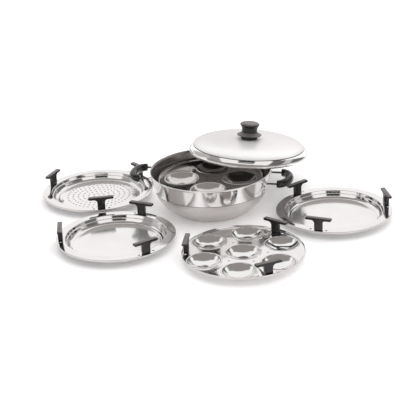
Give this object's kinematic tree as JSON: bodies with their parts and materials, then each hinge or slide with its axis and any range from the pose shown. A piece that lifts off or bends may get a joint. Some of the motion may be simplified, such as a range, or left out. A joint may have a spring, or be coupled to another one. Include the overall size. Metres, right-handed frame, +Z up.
{
  "type": "multi kadai set",
  "caption": "Steel kadai pot with side grips and a lid set askew, idli plates stacked inside, and steaming plates with T-shaped stack handles standing round it.",
  "frame": {"origin": "on the table, under the middle of the pot's base plate", "axes": "+Z up, +X to the viewer's right, +Y away from the viewer"},
  "size_m": [0.7706, 0.6417, 0.157],
  "materials": {
    "polished_steel": "mirror-polished stainless steel",
    "satin_steel": "satin stainless steel",
    "bakelite": "moulded dark brown-black phenolic with a soft sheen"
  },
  "bodies": {
    "pot": {"pot_shell": "polished_steel", "pot_base_plate": "satin_steel", "right_handle_ear_a": "polished_steel", "right_handle_ear_b": "polished_steel", "right_handle_rod_a": "polished_steel", "right_handle_rod_b": "polished_steel", "right_handle_grip": "bakelite", "left_handle_ear_a": "polished_steel", "left_handle_ear_b": "polished_steel", "left_handle_rod_a": "polished_steel", "left_handle_rod_b": "polished_steel", "left_handle_grip": "bakelite"},
    "lid": {"lid_shell": "polished_steel", "lid_knob": "bakelite", "lid_washer": "polished_steel", "lid_screw": "polished_steel"},
    "lower_idli": {"lower_idli_plate": "polished_steel", "lower_idli_stack_handle_1": "bakelite", "lower_idli_stack_handle_2": "bakelite", "lower_idli_stack_handle_3": "bakelite", "lower_idli_stack_screw_1": "polished_steel", "lower_idli_stack_screw_2": "polished_steel", "lower_idli_stack_screw_3": "polished_steel"},
    "upper_idli": {"upper_idli_plate": "polished_steel"},
    "steamer": {"steamer_plate": "polished_steel", "steamer_stack_handle_1": "bakelite", "steamer_stack_handle_2": "bakelite", "steamer_stack_handle_3": "bakelite", "steamer_stack_screw_1": "polished_steel", "steamer_stack_screw_2": "polished_steel", "steamer_stack_screw_3": "polished_steel"},
    "left_dhokla": {"left_dhokla_plate": "polished_steel", "left_dhokla_stack_handle_1": "bakelite", "left_dhokla_stack_handle_2": "bakelite", "left_dhokla_stack_handle_3": "bakelite", "left_dhokla_stack_screw_1": "polished_steel", "left_dhokla_stack_screw_2": "polished_steel", "left_dhokla_stack_screw_3": "polished_steel"},
    "mini_idli": {"mini_idli_plate": "polished_steel", "mini_idli_stack_handle_1": "bakelite", "mini_idli_stack_handle_2": "bakelite", "mini_idli_stack_handle_3": "bakelite", "mini_idli_stack_screw_1": "polished_steel", "mini_idli_stack_screw_2": "polished_steel", "mini_idli_stack_screw_3": "polished_steel"},
    "right_dhokla": {"right_dhokla_plate": "polished_steel", "right_dhokla_stack_handle_1": "bakelite", "right_dhokla_stack_handle_2": "bakelite", "right_dhokla_stack_handle_3": "bakelite", "right_dhokla_stack_screw_1": "polished_steel", "right_dhokla_stack_screw_2": "polished_steel", "right_dhokla_stack_screw_3": "polished_steel"}
  },
  "joints": [
    {"name": "lid_lift", "type": "slide", "parent": "pot", "child": "lid", "axis": [0, 0, 1], "range_m": [0, 0.15]},
    {"name": "idli_stack_lift", "type": "slide", "parent": "pot", "child": "lower_idli", "axis": [0, 0, 1], "range_m": [0, 0.016]},
    {"name": "upper_idli_turn", "type": "hinge", "parent": "lower_idli", "child": "upper_idli", "pos_m": [0, 0, 0.0686], "axis": [0, 0, 1], "continuous": true},
    {"name": "steamer_lift", "type": "slide", "parent": "pot", "child": "steamer", "axis": [-0.6052, 0.2167, 0.766], "range_m": [0, 0.15]},
    {"name": "left_dhokla_lift", "type": "slide", "parent": "pot", "child": "left_dhokla", "axis": [-0.4953, -0.4097, 0.766], "range_m": [0, 0.15]},
    {"name": "mini_idli_lift", "type": "slide", "parent": "pot", "child": "mini_idli", "axis": [0.1362, -0.6282, 0.766], "range_m": [0, 0.15]},
    {"name": "right_dhokla_lift", "type": "slide", "parent": "pot", "child": "right_dhokla", "axis": [0.6153, -0.1861, 0.766], "range_m": [0, 0.15]}
  ]
}
